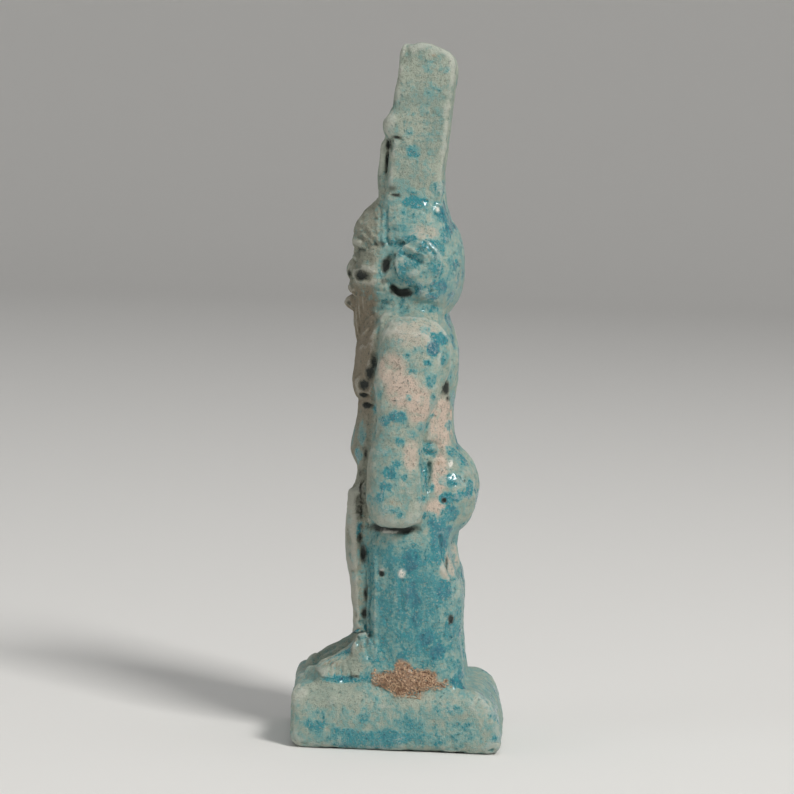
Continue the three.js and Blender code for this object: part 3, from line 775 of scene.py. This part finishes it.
# %% Patches of glaze
GLAZE = {
    "crown": [
        ((0.9, 67.6), (0.9, 0.8), 0.50),
        ((2.7, 67.4), (0.4, 0.4), 0.72),
        ((1.1, 65.3), (1.0, 1.2), 0.48),
        ((0.3, 63.5), (0.8, 0.8), 0.46),
        ((-0.8, 61.3), (0.5, 0.5), 0.55),
        ((-0.4, 59.3), (0.9, 0.8), 0.78),
        ((2.2, 55.7), (1.1, 1.0), 0.72),
        ((-0.8, 55.3), (1.2, 0.7), 0.60),
        ((-0.1, 54.3), (1.6, 0.7), 0.95),
        ((2.4, 53.8), (1.0, 1.0), 0.75),
    ],
    "mane": [
        ((-1.6, 53.0), (1.6, 1.2), 0.52),
        ((1.2, 51.8), (2.4, 1.6), 0.56),
        ((3.2, 51.3), (0.9, 1.2), 0.84),
        ((-1.2, 49.6), (0.6, 0.9), 0.92),
        ((-0.2, 50.7), (1.0, 0.5), 0.92),
        ((1.2, 50.2), (0.9, 0.5), 0.88),
        ((-0.2, 48.5), (1.1, 1.0), 0.85),
        ((-0.9, 47.3), (0.8, 1.1), 0.95),
        ((-0.3, 46.4), (0.6, 0.6), 1.05),
        ((0.6, 45.8), (0.5, 0.9), 1.08),
        ((2.9, 46.0), (0.65, 0.9), 1.20),
        ((1.9, 45.1), (0.8, 0.5), 1.08),
        ((4.2, 48.3), (0.4, 0.7), 1.05),
        ((2.4, 49.7), (1.0, 1.1), 0.80),
        ((2.3, 47.9), (1.1, 1.2), 0.82),
        ((3.8, 47.0), (0.6, 0.6), 0.78),
        ((1.8, 43.8), (1.2, 0.5), 0.80),
        ((3.9, 44.5), (0.7, 0.8), 0.78),
        ((-0.3, 43.8), (1.2, 0.5), 0.56),
    ],
    "arm": [
        ((1.5, 41.9), (0.7, 0.6), 0.76),
        ((2.35, 40.2), (0.68, 0.95), 1.45),
        ((3.0, 41.3), (0.5, 0.6), 0.88),
        ((-1.2, 40.7), (0.8, 0.8), 0.58),
        ((-0.3, 39.3), (0.4, 0.35), 0.78),
        ((0.7, 39.9), (0.6, 0.6), 0.52),
        ((1.8, 38.8), (0.45, 0.4), 0.95),
        ((3.5, 39.3), (0.5, 1.2), 0.74),
        ((0.5, 37.8), (0.9, 0.6), 0.66),
        ((2.3, 37.1), (0.6, 1.1), 0.80),
        ((1.3, 36.5), (0.35, 0.3), 0.82),
        ((0.15, 35.3), (0.55, 0.5), 0.98),
        ((-2.8, 36.0), (0.5, 1.6), 0.68),
        ((-0.9, 33.4), (1.2, 0.7), 1.08),
        ((-2.2, 32.9), (0.8, 0.6), 0.95),
        ((2.5, 34.8), (0.5, 1.2), 0.76),
        ((1.5, 32.5), (0.8, 0.6), 0.74),
        ((0.5, 31.7), (0.8, 0.45), 0.74),
        ((-0.6, 30.9), (0.6, 0.6), 0.84),
        ((-2.2, 30.1), (0.9, 0.9), 0.64),
        ((-0.8, 28.6), (0.6, 0.6), 0.98),
        ((-1.5, 27.8), (0.8, 0.8), 1.00),
        ((-1.8, 26.4), (0.7, 0.8), 1.02),
        ((-2.4, 25.2), (0.6, 0.7), 0.98),
        ((0.0, 27.4), (0.4, 0.5), 0.78),
        ((-3.2, 24.9), (0.8, 0.9), 0.60),
        ((-1.2, 24.2), (1.5, 0.6), 0.66),
        ((-0.2, 23.6), (0.5, 0.5), 0.76),
    ],
    "hip": [
        ((2.3, 29.9), (0.9, 0.8), 0.82),
        ((1.9, 27.2), (0.35, 1.8), 0.78),
        ((1.8, 25.3), (0.4, 0.4), 0.88),
        ((-4.6, 31.2), (0.6, 1.5), 0.70),
        ((4.4, 27.0), (1.6, 0.8), 0.92),
        ((4.1, 25.2), (0.9, 0.8), 1.00),
        ((5.3, 25.4), (0.7, 0.7), 0.98),
        ((6.4, 26.2), (0.5, 1.0), 1.05),
        ((4.5, 23.7), (1.1, 1.0), 1.02),
        ((3.3, 22.6), (1.1, 1.2), 1.05),
        ((5.6, 28.5), (0.5, 0.5), 0.72),
        ((3.8, 28.0), (0.6, 0.6), 0.60),
    ],
    "leg": [
        ((1.2, 14.5), (3.6, 6.6), 0.88),
        ((0.9, 19.0), (1.3, 1.4), 1.16),
        ((-1.4, 18.9), (0.8, 1.0), 0.98),
        ((3.6, 20.3), (1.0, 2.0), 1.08),
        ((1.2, 15.5), (1.0, 1.8), 1.18),
        ((-1.5, 14.5), (0.9, 2.0), 0.96),
        ((4.2, 16.2), (1.0, 1.4), 1.12),
        ((1.5, 13.0), (0.7, 1.1), 1.10),
        ((2.6, 11.4), (1.0, 1.2), 1.14),
        ((3.8, 10.0), (1.0, 1.2), 1.14),
        ((5.0, 12.3), (0.7, 1.4), 0.98),
        ((0.4, 9.2), (0.9, 0.7), 1.08),
        ((5.0, 8.4), (1.0, 1.6), 0.76),
        ((-3.4, 9.6), (1.0, 0.9), 0.50),
    ],
    "base": [
        ((-5.6, 6.8), (2.4, 0.45), 1.00),
        ((-3.1, 7.3), (1.0, 0.7), 0.86),
        ((-3.2, 3.6), (0.7, 1.1), 0.72),
        ((-6.4, 3.9), (1.0, 0.4), 0.60),
        ((-8.0, 2.4), (1.6, 0.7), 0.84),
        ((-4.6, 1.4), (2.4, 1.0), 0.90),
        ((-0.8, 1.4), (3.0, 1.0), 0.92),
        ((1.5, 2.9), (2.0, 1.0), 0.76),
        ((5.3, 4.4), (2.0, 0.45), 0.78),
        ((3.0, 1.4), (2.4, 0.9), 0.80),
        ((6.8, 2.2), (2.0, 1.4), 0.68),
        ((-3.0, 0.5), (4.0, 0.5), 0.98),
        ((8.2, 6.6), (1.0, 0.7), 0.72),
    ],
}
GLAZE_BY_HEIGHT = {
    0: 0.52, 5: 0.52, 6.5: 0.50, 8: 0.72, 20: 0.76, 23: 0.46, 43: 0.44, 45: 0.60, 53: 0.60, 56: 0.36, 70: 0.30,
}


def patch_amounts(patches, view, half, spread=1.25, firm=2.2):
    """The strongest patch at each point. A firm patch is even inside and drops off at its edge."""
    strongest = np.zeros(len(clay.place))
    for middle, halves, amount in patches:
        share = np.clip(firm * clay.bite(view, [middle], np.multiply(halves, spread), half=half), 0, 1)
        strongest = np.maximum(strongest, amount * share)
    return strongest


def scattered(count, low, high, seed):
    """Patches for the sides that can't be seen in the picture, drawn from a fixed seed."""
    draw = np.random.default_rng(seed)
    return [
        (tuple(draw.uniform(low, high)), tuple(draw.uniform(0.35, 1.3, 2)), draw.uniform(0.6, 1.15))
        for _ in range(count)
    ]


def glaze_left():
    """How much glaze is left at each point."""
    heights, amounts = zip(*GLAZE_BY_HEIGHT.items())
    general = np.interp(clay.place[:, 2], heights, amounts)
    general -= 0.34 * np.clip(-clay.place[:, 1] - 3.2, 0, 1) * np.clip((clay.place[:, 2] - 7) / 0.5, 0, 1)
    seen = [patch for patches in GLAZE.values() for patch in patches]
    left = patch_amounts(seen, "side", "left")
    right = patch_amounts(scattered(90, (-3.5, 0.5), (6.0, 56), 3), "side", "right")
    back = patch_amounts(scattered(110, (0.0, 0.5), (9.0, 58), 4), "back", "both")
    front = patch_amounts(scattered(26, (1.0, 0.5), (9.0, 36), 5), "front", "both") * 0.8
    return np.max([general, left, right, back, front], axis=0)


glaze = glaze_left()
remember("glaze", glaze)
print("patches of glaze on the side that shows:", sum(len(patches) for patches in GLAZE.values()))

# %% [markdown]
# More stains tell the sides of the figure apart. On the upper arm and along the flank the glaze
# has flaked off to the pinkish paste. The front, from the beard to the shins, has taken the warm
# brown of the soil, made darker there as painted shade, since the front faces away from the main
# light. Black earth sits in some creases and has fallen out of others, so it gets patches of its
# own; the same dark patches also paint the shade in deep recesses, such as the shadow under the
# hand and the slot in the crown. Pale spots of fresh paste are partly real chips and partly painted
# highlights, and a few spots are stained by iron.

# %% Stains
BARE = [
    ((-1.6, 37.9), (1.3, 1.5), 0.9),
    ((-0.4, 36.0), (1.6, 1.6), 1.0),
    ((1.2, 34.6), (1.1, 1.8), 1.0),
    ((0.4, 41.5), (2.4, 1.2), 0.5),
    ((0.6, 29.6), (0.7, 1.4), 0.8),
    ((3.4, 32.4), (1.2, 2.6), 1.0),
    ((3.4, 27.6), (0.7, 2.0), 1.0),
    ((3.1, 24.2), (1.0, 0.9), 0.9),
    ((4.6, 18.6), (0.9, 1.5), 0.9),
    ((1.0, 51.4), (1.4, 0.6), 0.6),
    ((4.9, 46.6), (0.8, 2.2), 0.4),
    ((-6.6, 5.4), (3.2, 1.2), 0.9),
    ((1.0, 5.2), (2.2, 0.5), 0.5),
    ((-6.0, 8.2), (2.6, 0.9), 0.8),
]
# Dark patches: real black earth in some creases, and painted shade in the deep recesses.
EARTH_AND_SHADE_PATCHES = [
    # Under the cheek and the ear: painted shadow mixed with earth.
    ((-5.2, 46.9), (0.75, 0.55), 1.3),
    ((-6.6, 46.9), (0.22, 0.40), 1.2),
    ((-2.7, 48.0), (0.45, 0.75), 1.3),
    ((-2.9, 46.4), (0.35, 0.5), 0.9),
    ((-1.9, 45.6), (0.45, 0.55), 1.1),
    ((-1.0, 45.3), (0.95, 0.40), 1.4),
    ((-3.4, 50.0), (0.5, 0.4), 0.8),
    ((-6.5, 43.9), (0.3, 0.3), 0.9),
    ((-6.5, 44.9), (0.3, 0.2), 0.7),
    ((-5.4, 49.4), (0.4, 0.2), 0.8),
    # Armpit hollow and waist pits: painted shade mixed with earth.
    ((-3.6, 38.5), (0.35, 0.9), 1.1),
    ((-4.0, 37.2), (0.45, 0.8), 1.2),
    ((-4.5, 36.0), (0.60, 0.6), 1.25),
    ((-4.6, 34.9), (0.45, 0.25), 1.5),
    ((-4.2, 33.9), (0.50, 0.30), 1.5),
    ((-4.1, 29.2), (0.22, 0.55), 1.0),
    ((-4.5, 27.2), (0.22, 0.4), 0.8),
    ((-4.3, 23.5), (0.2, 0.8), 0.9),
    ((3.6, 36.0), (0.40, 0.8), 1.3),
    ((3.9, 34.9), (0.3, 0.3), 1.0),
    ((2.2, 54.0), (0.2, 0.2), 0.5),
    # Painted shadow under the hand's lip.
    ((-1.0, 22.0), (2.6, 0.40), 1.2),
    ((-4.35, 20.9), (0.25, 0.5), 1.2),
    ((-4.0, 19.3), (0.28, 0.9), 1.1),
    ((-3.55, 15.3), (0.25, 0.8), 1.1),
    ((-3.6, 13.3), (0.32, 0.55), 1.25),
    ((-3.2, 11.0), (0.2, 1.0), 0.7),
    ((-2.0, 17.5), (0.25, 0.30), 1.5),
    ((4.4, 18.7), (0.16, 1.0), 0.9),
    ((5.0, 13.2), (0.30, 0.5), 1.2),
    ((-4.2, 7.2), (0.5, 0.2), 0.9),
    ((-7.3, 6.9), (0.5, 0.15), 0.7),
    ((3.9, 25.0), (0.25, 0.25), 1.4),
    # Painted shade in the slot behind the broken crown.
    ((-2.9, 59.9), (0.32, 0.6), 1.5),
    ((-3.0, 58.2), (0.22, 1.4), 1.2),
    ((-2.1, 60.65), (0.55, 0.16), 1.1),
    ((-2.0, 54.95), (0.55, 0.16), 1.3),
    ((-2.3, 55.6), (0.5, 0.3), 0.7),
]
IRON = [
    ((-1.0, 24.9), (0.55, 0.3), 0.9),
    ((1.4, 68.7), (0.3, 0.3), 0.7),
    ((-5.5, 29.2), (0.5, 0.4), 0.6),
    ((-6.8, 8.3), (1.2, 0.3), 0.5),
    ((2.4, 54.0), (0.3, 0.3), 0.7),
    ((3.2, 28.6), (0.5, 0.25), 0.7),
]


# Pale spots of fresh paste: real chips, and painted highlights where an edge catches the light, such as the thin
# edge under the hand.
FRESH_CHIPS_AND_GLINTS = [
    ((-1.45, 21.75), (0.85, 0.14), 1.2),
    ((0.0, 17.7), (0.30, 0.42), 1.2),
    ((-2.0, 17.9), (0.24, 0.14), 0.8),
    ((4.4, 28.6), (0.20, 0.35), 1.0),
    ((-3.5, 22.7), (0.18, 0.14), 1.0),
    ((2.2, 53.7), (0.18, 0.2), 1.0),
]


def soil_and_front_shade():
    """The brown of the front, from the beard down to the shins: the soil's tone, made darker as painted shade on the
    side that faces away from the main light.
    """
    forward = np.clip(-clay.place[:, 1] - 2.9, 0, 1)
    height = clay.place[:, 2]
    on_front = np.clip((height - 8) / 3, 0, 1) * np.clip((56.5 - height) / 3, 0, 1)
    beard = np.clip((46.5 - height) / 1.5, 0, 1) * np.clip((height - 31) / 3, 0, 1)
    return forward * on_front * (0.50 + 0.50 * beard)


def crust_share():
    """Where the sand has stuck: full in the middle of the heap, and ragged at its rim."""
    plane = (clay.place[:, 1:] - CRUST_MIDDLE) / CRUST_HALVES
    peak = (clay.place[:, 1:] - (0.5, 8.3)) / (0.9, 0.9)
    inside = 1.15 - np.minimum(np.linalg.norm(plane, axis=1), np.linalg.norm(peak, axis=1))
    ragged = inside + 0.35 * soft_noise(clay.place, 0.6, 31)
    return np.where(clay.place[:, 0] > 6.8, np.clip(2.5 * ragged, 0, 1), 0)


bare = patch_amounts(BARE, "side", "both", 1.5)
remember("bare", bare)
remember("pink", bare * np.clip((clay.place[:, 2] - 10) / 4, 0, 1))
# Black earth patches, which also paint shade in deep recesses.
remember("dirt_and_shade", patch_amounts(EARTH_AND_SHADE_PATCHES, "side", "both", 1.7, 1.1))
remember("iron", patch_amounts(IRON, "side", "left", 1.4))
# Fresh chips and painted highlights.
remember("fresh_and_glint", patch_amounts(FRESH_CHIPS_AND_GLINTS, "side", "left", 1.4))
# The front's soil brown and its painted shade.
remember("soil_and_shade", soil_and_front_shade())
crust = crust_share()
remember("crust", crust)
print("stains stored:", [a.name for a in thinned.attributes if a.data_type == "FLOAT"])

# %% [markdown]
# ## Mixing a finish
#
# A material is a sum of masks, and sums are easiest to read as Python. A small class wraps a
# socket, so that adding or multiplying two of them adds the Math node that does it. Every other
# node comes from one method, which takes the node's type, its settings and its inputs.

# %% Sockets that can be added up
class Wire:
    """A socket that a value comes out of. Sums on wires become Math nodes."""

    def __init__(self, finish, socket):
        self.finish = finish
        self.socket = socket

    def maths(self, operation, first, second):
        return self.finish.node("ShaderNodeMath", {"operation": operation}, {0: first, 1: second})

    def __add__(self, other):
        return self.maths("ADD", self, other)

    def __sub__(self, other):
        return self.maths("SUBTRACT", self, other)

    def __rsub__(self, other):
        return self.maths("SUBTRACT", other, self)

    def __mul__(self, other):
        return self.maths("MULTIPLY", self, other)

    __radd__ = __add__
    __rmul__ = __mul__


class Finish:
    """One material, and the few ways in which its nodes are made."""

    def __init__(self, name):
        self.material = bpy.data.materials.new(name)
        self.material.use_nodes = True
        self.tree = self.material.node_tree
        self.shader = self.tree.nodes["Principled BSDF"]
        place = self.node("ShaderNodeTexCoord", out="Object")
        self.place = self.vectors("MULTIPLY", place, (1 / MM,) * 3)

    def node(self, kind, settings=None, values=None, out=0):
        """Adds a node: its settings first, then what its sockets hold or are wired to."""
        made = self.tree.nodes.new(kind)
        for setting, value in (settings or {}).items():
            setattr(made, setting, value)
        for key, value in (values or {}).items():
            if isinstance(value, Wire):
                self.tree.links.new(value.socket, made.inputs[key])
            else:
                made.inputs[key].default_value = value
        return Wire(self, made.outputs[out])

    def vectors(self, operation, *values):
        """Vector Math on places, with its inputs in order."""
        return self.node("ShaderNodeVectorMath", {"operation": operation}, dict(enumerate(values)))

    def mix(self, first, second, share):
        """One colour over another, by a mask."""
        kind = {"data_type": "RGBA", "clamp_factor": True}
        return self.node("ShaderNodeMix", kind, {0: share, 6: first, 7: second}, out=2)

    def stored(self, name):
        """A number that the mesh remembers."""
        return self.node("ShaderNodeAttribute", {"attribute_name": name}, out="Fac")

    def noise(self, width, detail=3.0, rough=0.55, shift=0.0, stretch=(1, 1, 1)):
        """Noise from 0 to 1 with lumps about as wide as width, in millimetres."""
        shifted = self.vectors("MULTIPLY_ADD", self.place, stretch, (shift,) * 3)
        values = {"Vector": shifted, "Scale": 1 / width, "Detail": detail, "Roughness": rough}
        return self.node("ShaderNodeTexNoise", {}, values)

    def mask(self, value, low, high):
        """0 below low, 1 above high, and a soft step between."""
        values = {"Value": value, "From Min": low, "From Max": high}
        return self.node("ShaderNodeMapRange", {"interpolation_type": "SMOOTHSTEP"}, values)

    def lead(self, wire, socket):
        """Leads a wire to one of the shader's sockets."""
        self.tree.links.new(wire.socket, self.shader.inputs[socket])

    def bump(self, height, depth):
        """Fine relief that the mesh is too coarse for, with its depth in millimetres."""
        values = {"Height": height, "Distance": depth * MM, "Strength": 1.0}
        self.lead(self.node("ShaderNodeBump", {}, values), "Normal")


print("finish bench ready")

# %% [markdown]
# ## The faience
#
# From the paste outwards: a pale paste that is greyer in places, the pink where it is freshly
# bare, the brown of the soil on the front, made darker there as painted shade. Over it lies a thin
# wash of turquoise, then the thick glaze, which is teal, and almost blue where it is thickest.
# Small dark specks are burst bubbles filled with earth. The hollows hold dark earth and are painted
# darker still as shade, and the rubbed edges are paler than the rest. Pale spots of fresh paste are
# partly chips and partly painted highlights.
# Thick glaze is glossy, and the bare paste is dull.

# %% Faience
PASTE = (0.39, 0.44, 0.36, 1.0)
GREY_PASTE = (0.24, 0.31, 0.26, 1.0)
PINK_PASTE = (0.62, 0.50, 0.41, 1.0)
# Pale fresh paste, also used for painted highlights.
FRESH_PASTE_AND_GLINT = (0.82, 0.78, 0.70, 1.0)
# Soil brown, darker than the soil's own tone: painted shade on the front.
SOIL_BROWN_AND_SHADE = (0.26, 0.215, 0.15, 1.0)
WASH = (0.17, 0.40, 0.39, 1.0)
TEAL = (0.022, 0.25, 0.285, 1.0)
DEEP_BLUE = (0.003, 0.145, 0.205, 1.0)
# A dark greenish stain: real specks in the paste, and also painted shade in the hollows.
STAIN_AND_SHADE = (0.095, 0.10, 0.075, 1.0)
# Black: the earth in burst bubbles, and also the darkest painted shade in creases.
EARTH_BLACK_AND_SHADE = (0.018, 0.024, 0.021, 1.0)
RUST = (0.36, 0.20, 0.10, 1.0)
RUBBED = (0.64, 0.64, 0.57, 1.0)
SAND = (0.40, 0.25, 0.16, 1.0)


def faience():
    """The worn, glazed paste of the whole figure."""
    f = Finish("worn faience")
    hollow, edge = f.stored("hollow"), f.stored("edge")
    glaze, bare, soil_and_shade = f.stored("glaze"), f.stored("bare"), f.stored("soil_and_shade")
    dirt_and_shade, iron, crust = f.stored("dirt_and_shade"), f.stored("iron"), f.stored("crust")
    clouds, blotches = f.noise(3.0, 3), f.noise(0.95, 6, 0.66, 7)
    specks, grain = f.noise(0.32, 4, 0.68, 17), f.noise(0.13, 2, 0.6, 29)
    chips, runs = f.noise(0.21, 2, 0.5, 53), f.noise(0.55, 3, 0.6, 41, stretch=(1, 1, 0.25))

    paste = f.mix(PASTE, GREY_PASTE, f.mask(clouds + (blotches - 0.5) * 0.8, 0.36, 0.66) * 0.8)
    paste = f.mix(paste, PINK_PASTE, f.stored("pink") * f.mask(blotches, 0.28, 0.52))
    # The front's brown: soil tone, darkened as painted shade.
    paste = f.mix(paste, SOIL_BROWN_AND_SHADE, soil_and_shade * 0.95)
    paste = f.mix(paste, STAIN_AND_SHADE, f.mask(grain + (specks - 0.5) * 0.9, 0.50, 0.72) * 0.55)
    paste = f.mix(paste, RUST, iron * f.mask(specks, 0.40, 0.60) * 0.7)

    left = glaze - bare * 0.30 - edge * 0.10 + hollow * 0.12
    uneven = (blotches - 0.5) * 1.35 + (specks - 0.5) * 0.9 + (runs - 0.5) * 0.4
    ragged = left + uneven
    wash = f.mask(ragged, 0.24, 0.74)
    flaked = f.mask(ragged, 0.70, 0.80)
    thick = f.mask(ragged, 0.56, 0.94) * (1 - bare) + flaked * bare
    deepest = f.mask(ragged, 0.92, 1.34)
    colour = f.mix(paste, WASH, wash * 0.85)
    colour = f.mix(colour, TEAL, thick)
    colour = f.mix(colour, DEEP_BLUE, deepest)
    colour = f.mix(colour, paste, f.mask(chips, 0.56, 0.70) * (1 - deepest * 0.6) * 0.75)

    bubbles = f.mask(specks, 0.62, 0.70) * f.mask(blotches, 0.35, 0.6)
    colour = f.mix(colour, EARTH_BLACK_AND_SHADE, bubbles * 0.45)
    colour = f.mix(colour, RUBBED, f.mask(edge + (grain - 0.5) * 1.2, 0.50, 1.00) * 0.40)
    # Soft dark over the earth patches and the hollows: partly real earth, partly painted shade in creases and
    # recesses.
    colour = f.mix(colour, STAIN_AND_SHADE, f.mask(dirt_and_shade + hollow * 0.40 + (blotches - 0.5) * 1.0, 0.22, 0.95) * 0.80)
    # Black cores over the earth patches and the hollows: partly real earth, partly painted shade.
    earth_and_shade_mask = f.mask(dirt_and_shade + hollow * 0.25 + (blotches - 0.5) * 1.7 + (specks - 0.5) * 1.1, 0.78, 1.14)
    colour = f.mix(colour, EARTH_BLACK_AND_SHADE, earth_and_shade_mask * 0.94)
    # Pale fresh paste: chips, and painted highlights where an edge catches the light.
    colour = f.mix(colour, FRESH_PASTE_AND_GLINT, f.stored("fresh_and_glint") * f.mask(specks, 0.34, 0.5))
    colour = f.mix(colour, SAND, crust * f.mask(specks, 0.25, 0.5))

    f.lead(colour, "Base Color")
    gloss = f.mask(ragged, 0.50, 0.95) * (1 - earth_and_shade_mask) * (1 - crust)
    f.lead(0.74 - gloss * 0.44 - wash * 0.12, "Roughness")
    f.lead(gloss * 0.60 + wash * 0.14, "Coat Weight")
    f.shader.inputs["Coat Roughness"].default_value = 0.14
    f.bump(specks * 0.8 + grain * 0.45 + blotches * 0.5 + thick * 0.15 - bubbles * 0.7, 0.24)
    return f.material


thinned.materials.clear()
thinned.materials.append(faience())
thinned.transform(Matrix.Scale(MM, 4))
figure = bpy.data.objects.new("worn_figure", thinned)
scene.collection.objects.link(figure)
print("faience uses", len(thinned.materials[0].node_tree.nodes), "nodes")

# %% [markdown]
# ## The crust of sand
#
# Beside the leg some sand from the find has stuck to the base, with thin roots in it. Grains
# repeat, so Geometry Nodes lay them: the part of the figure's skin under the crust is the bed,
# points are strewn on it, and each carries a small angular stone of a random size. The roots are
# drawn as wandering lines just above the bed, and a second tree gives them their thickness.

# %% The bed under the sand
def crust_bed():
    """The skin under the crust as a mesh of its own, in millimetres, with its share stored."""
    under = crust[clay.faces].min(axis=1) > 0.05
    used, index = np.unique(clay.faces[under], return_inverse=True)
    bed = bpy.data.meshes.new("bed")
    bed.from_pydata(clay.place[used].tolist(), [], index.reshape(-1, 3).tolist())
    bed.attributes.new("share", "FLOAT", "POINT").data.foreach_set("value", crust[used].astype(np.float32))
    return bed, clay.place[used], clay.facing[used]


bed, bed_points, bed_facing = crust_bed()
print("bed:", len(bed.polygons), "triangles")

# %% Geometry trees
def joined(tree, kind, settings=None, values=None):
    """Adds a node to a geometry tree: its settings first, then its sockets, and gives the node."""
    made = tree.nodes.new(kind)
    for setting, value in (settings or {}).items():
        setattr(made, setting, value)
    for key, value in (values or {}).items():
        if isinstance(value, bpy.types.NodeSocket):
            tree.links.new(value, made.inputs[key])
        else:
            made.inputs[key].default_value = value
    return made


def new_tree(name, sizes):
    """A geometry tree that takes a geometry, named sizes and a seed."""
    tree = bpy.data.node_groups.new(name, "GeometryNodeTree")
    tree.interface.new_socket("Geometry", in_out="INPUT", socket_type="NodeSocketGeometry")
    for size, value in sizes.items():
        kind = "NodeSocketInt" if isinstance(value, int) else "NodeSocketFloat"
        tree.interface.new_socket(size, in_out="INPUT", socket_type=kind).default_value = value
    tree.interface.new_socket("Geometry", in_out="OUTPUT", socket_type="NodeSocketGeometry")
    return tree, tree.nodes.new("NodeGroupInput").outputs


def close_tree(tree, geometry, material):
    """Ends a tree: what it made becomes real mesh, with its material."""
    real = joined(tree, "GeometryNodeRealizeInstances", {}, {"Geometry": geometry})
    dressed = joined(tree, "GeometryNodeSetMaterial", {}, {"Geometry": real.outputs[0], "Material": material})
    tree.links.new(dressed.outputs[0], tree.nodes.new("NodeGroupOutput").inputs[0])


def grown(name, mesh, tree, sizes):
    """The mesh that a tree makes from another mesh with the named sizes, brought to metres."""
    holder = bpy.data.objects.new(name, mesh)
    scene.collection.objects.link(holder)
    modifier = holder.modifiers.new("grow", "NODES")
    modifier.node_group = tree
    for item in tree.interface.items_tree:
        if item.in_out == "INPUT" and item.name in sizes:
            modifier[item.identifier] = sizes[item.name]
    result = bpy.data.meshes.new_from_object(holder.evaluated_get(bpy.context.evaluated_depsgraph_get()))
    bpy.data.objects.remove(holder)
    result.transform(Matrix.Scale(MM, 4))
    piece = bpy.data.objects.new(name, result)
    scene.collection.objects.link(piece)
    return piece


print("geometry bench ready")

# %% Sand grains
GRAINS = {"Grains per area": 26.0, "Smallest": 0.05, "Largest": 0.17, "Seed": 8}


def sand(name, light, dark, width):
    """Dull sand, lighter and darker from grain to grain."""
    f = Finish(name)
    tone = f.noise(width, 2, 0.5, 61)
    f.lead(f.mix(dark, light, f.mask(tone, 0.36, 0.60)), "Base Color")
    f.shader.inputs["Roughness"].default_value = 0.9
    f.bump(f.noise(0.05, 2), 0.02)
    return f.material


def grain_tree(material):
    """Strews stones on the bed, more where the crust is thick."""
    tree, given = new_tree("grains", GRAINS)
    share = joined(tree, "GeometryNodeInputNamedAttribute", {"data_type": "FLOAT"}, {"Name": "share"})
    thick = joined(tree, "ShaderNodeMath", {"operation": "MULTIPLY"}, {0: share.outputs[0], 1: given[1]})
    strewn = {"Mesh": given[0], "Density": thick.outputs[0], "Seed": given[4]}
    points = joined(tree, "GeometryNodeDistributePointsOnFaces", {}, strewn)
    stone = joined(tree, "GeometryNodeMeshIcoSphere", {}, {"Radius": 1.0, "Subdivisions": 1})
    size = joined(tree, "FunctionNodeRandomValue", {"data_type": "FLOAT_VECTOR"}, {0: given[2], 1: given[3]})
    turn = joined(tree, "FunctionNodeRandomValue", {"data_type": "FLOAT_VECTOR"}, {1: (math.tau,) * 3, 8: 5})
    laid = {
        "Points": points.outputs[0],
        "Instance": stone.outputs[0],
        "Rotation": turn.outputs[0],
        "Scale": size.outputs[0],
    }
    stones = joined(tree, "GeometryNodeInstanceOnPoints", {}, laid)
    close_tree(tree, stones.outputs[0], material)
    return tree


grain_sand = sand("stuck sand", (0.56, 0.38, 0.25, 1.0), (0.20, 0.12, 0.075, 1.0), 0.30)
grains = grown("sand_grains", bed, grain_tree(grain_sand), GRAINS)
print("grains:", len(grains.data.polygons), "faces")

# %% Roots in the sand
ROOTS = 46
ROOT_STEP = 0.12
ROOT_SIZES = {"Thickness": 0.032}


def root_lines():
    """Wandering lines that keep just above the bed, as a mesh of loose edges."""
    draw = np.random.default_rng(12)
    points, edges = [], []
    for _ in range(ROOTS):
        spot = np.array(CRUST_MIDDLE) + draw.uniform(-0.8, 0.8, 2) * CRUST_HALVES
        heading = draw.uniform(0, math.tau)
        lift = draw.uniform(0.06, 0.22)
        for step in range(draw.integers(6, 20)):
            nearest = np.argmin(np.sum((bed_points[:, 1:] - spot) ** 2, axis=1))
            points.append(bed_points[nearest] + bed_facing[nearest] * lift)
            if step:
                edges.append((len(points) - 2, len(points) - 1))
            heading += draw.normal(0, 0.45)
            spot = spot + ROOT_STEP * np.array((math.cos(heading), math.sin(heading)))
            lift = np.clip(lift + draw.normal(0, 0.02), 0.03, 0.30)
    mesh = bpy.data.meshes.new("roots")
    mesh.from_pydata([tuple(point) for point in points], edges, [])
    return mesh


def root_tree(material):
    """Gives each line a round section."""
    tree, given = new_tree("roots", ROOT_SIZES)
    lines = joined(tree, "GeometryNodeMeshToCurve", {}, {"Mesh": given[0]})
    smooth = joined(tree, "GeometryNodeCurveSplineType", {"spline_type": "CATMULL_ROM"}, {"Curve": lines.outputs[0]})
    section = joined(tree, "GeometryNodeCurvePrimitiveCircle", {}, {"Resolution": 6, "Radius": given[1]})
    drawn = {"Curve": smooth.outputs[0], "Profile Curve": section.outputs[0], "Fill Caps": True}
    tubes = joined(tree, "GeometryNodeCurveToMesh", {}, drawn)
    close_tree(tree, tubes.outputs[0], material)
    return tree


root_brown = sand("dry root", (0.62, 0.44, 0.29, 1.0), (0.34, 0.21, 0.13, 1.0), 0.8)
roots = grown("dry_roots", root_lines(), root_tree(root_brown), ROOT_SIZES)
print("roots:", len(roots.data.polygons), "faces")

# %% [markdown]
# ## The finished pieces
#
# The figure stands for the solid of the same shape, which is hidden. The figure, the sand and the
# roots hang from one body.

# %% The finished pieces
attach(figure, "root")
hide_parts("bes_figure")
for piece in (grains, roots):
    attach(piece, "root")
